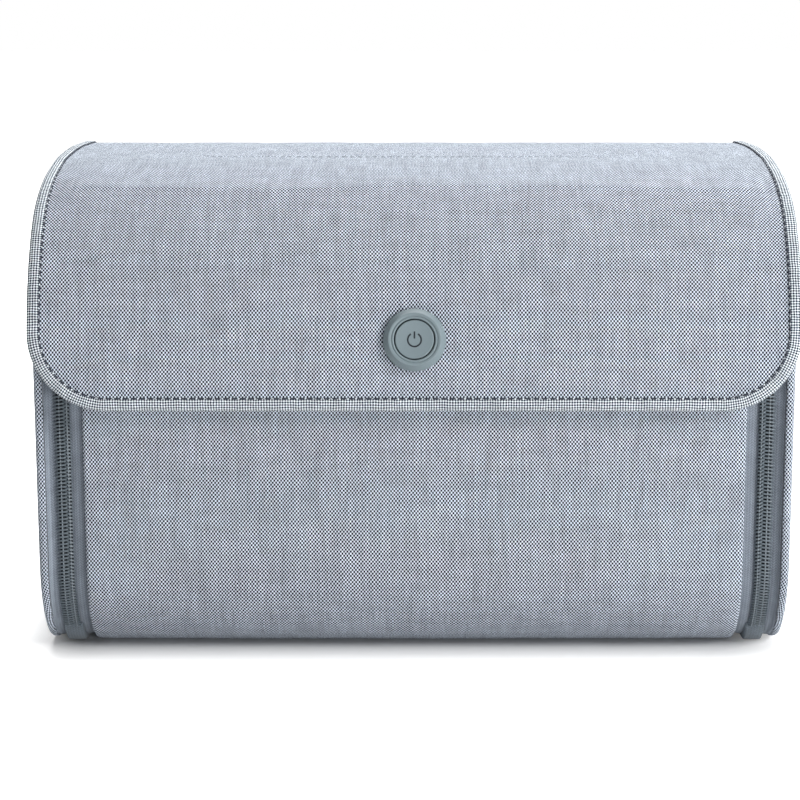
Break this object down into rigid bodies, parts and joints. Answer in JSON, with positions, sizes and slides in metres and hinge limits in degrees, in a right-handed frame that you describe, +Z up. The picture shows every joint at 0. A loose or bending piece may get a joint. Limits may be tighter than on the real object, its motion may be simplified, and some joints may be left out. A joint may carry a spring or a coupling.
{
  "type": "uv sterilizer bag",
  "caption": "Soft ultraviolet sterilizer bag with a bent flap lid, a power button on the flap, zippers beside a folding front panel and a lamp module under the lid.",
  "frame": {"origin": "middle of the footprint, on the surface that the bag stands on", "axes": "+X along the width, the front with the flap faces -Y, +Z up"},
  "size_m": [0.305, 0.1797, 0.1955],
  "materials": {
    "woven_fabric": "heathered plain weave",
    "silver_liner": "silver reflective coating",
    "stiff_board": "plain sheet",
    "zip_tape": "herringbone tape",
    "zip_coil": "nylon coil",
    "end_tab": "folded tape",
    "zip_metal": "dark nickel",
    "magnet": "nickel plated",
    "button_plastic": "satin moulded",
    "lamp_plastic": "fine moulded texture",
    "circuit_board": "solder mask",
    "black_plastic": "moulded",
    "ribbon_plastic": "flat ribbon",
    "lamp_glass": "clear",
    "led_resin": "clear resin over a die",
    "battery_wrap": "shrink wrapped",
    "socket_steel": "plated"
  },
  "bodies": {
    "bag": {"body_shell": "woven_fabric", "body_liner": "silver_liner", "base_board": "stiff_board", "back_board": "stiff_board", "hinge_welt": "woven_fabric", "left_side_cover": "woven_fabric", "right_side_cover": "woven_fabric", "left_side_board": "stiff_board", "right_side_board": "stiff_board", "left_side_liner": "silver_liner", "right_side_liner": "silver_liner", "left_zip_outer_tape": "zip_tape", "right_zip_outer_tape": "zip_tape", "left_zip_lower_tape": "zip_tape", "right_zip_lower_tape": "zip_tape", "left_zip_outer_coil": "zip_coil", "right_zip_outer_coil": "zip_coil", "left_zip_lower_coil": "zip_coil", "right_zip_lower_coil": "zip_coil", "left_zip_end_tab": "end_tab", "right_zip_end_tab": "end_tab"},
    "front_panel": {"front_cover": "woven_fabric", "front_board": "stiff_board", "front_liner": "silver_liner", "front_magnets": "magnet", "left_zip_inner_tape": "zip_tape", "right_zip_inner_tape": "zip_tape", "left_zip_inner_coil": "zip_coil", "right_zip_inner_coil": "zip_coil"},
    "lid": {"lid_binding": "woven_fabric", "lid_cover": "woven_fabric", "lid_board": "stiff_board", "lid_liner": "silver_liner", "lid_magnets": "magnet", "switch_ribbon": "ribbon_plastic", "button_bezel": "button_plastic", "tact_switch": "black_plastic", "switch_board": "circuit_board", "switch_back_cover": "lamp_plastic", "lamp_plate": "lamp_plastic", "lamp_case": "lamp_plastic", "lamp_window": "lamp_glass", "led_board": "circuit_board", "uv_leds": "led_resin", "battery_pack": "battery_wrap", "charge_board": "circuit_board", "usb_socket": "socket_steel"},
    "button": {"power_button": "button_plastic"},
    "left_slider": {"left_zip_slider": "zip_metal"},
    "left_pull": {"left_zip_pull": "zip_metal"},
    "right_slider": {"right_zip_slider": "zip_metal"},
    "right_pull": {"right_zip_pull": "zip_metal"}
  },
  "joints": [
    {"name": "lid_hinge", "type": "hinge", "parent": "bag", "child": "lid", "pos_m": [0, 0.086, 0.1776], "axis": [-1, 0, 0], "range_deg": [0, 115]},
    {"name": "button_press", "type": "slide", "parent": "lid", "child": "button", "axis": [0, 0.969, -0.247], "range_m": [0, 0.0006], "stiffness_N_per_m": 600},
    {"name": "front_fold", "type": "hinge", "parent": "bag", "child": "front_panel", "pos_m": [0, -0.0754, 0.05], "axis": [-1, 0, 0], "range_deg": [0, 95]},
    {"name": "left_slide", "type": "slide", "parent": "bag", "child": "left_slider", "axis": [0, 0, 1], "range_m": [-0.08, 0]},
    {"name": "left_pull_swing", "type": "hinge", "parent": "left_slider", "child": "left_pull", "pos_m": [-0.1397, -0.08015, 0.124], "axis": [-1, 0, 0], "range_deg": [0, 90]},
    {"name": "right_slide", "type": "slide", "parent": "bag", "child": "right_slider", "axis": [0, 0, 1], "range_m": [-0.08, 0]},
    {"name": "right_pull_swing", "type": "hinge", "parent": "right_slider", "child": "right_pull", "pos_m": [0.1397, -0.08015, 0.124], "axis": [-1, 0, 0], "range_deg": [0, 90]}
  ],
  "couplings": [
    {"joint": "left_pull_swing", "follows": "left_slide", "rad_per_m": -19.63},
    {"joint": "right_pull_swing", "follows": "right_slide", "rad_per_m": -19.63}
  ]
}
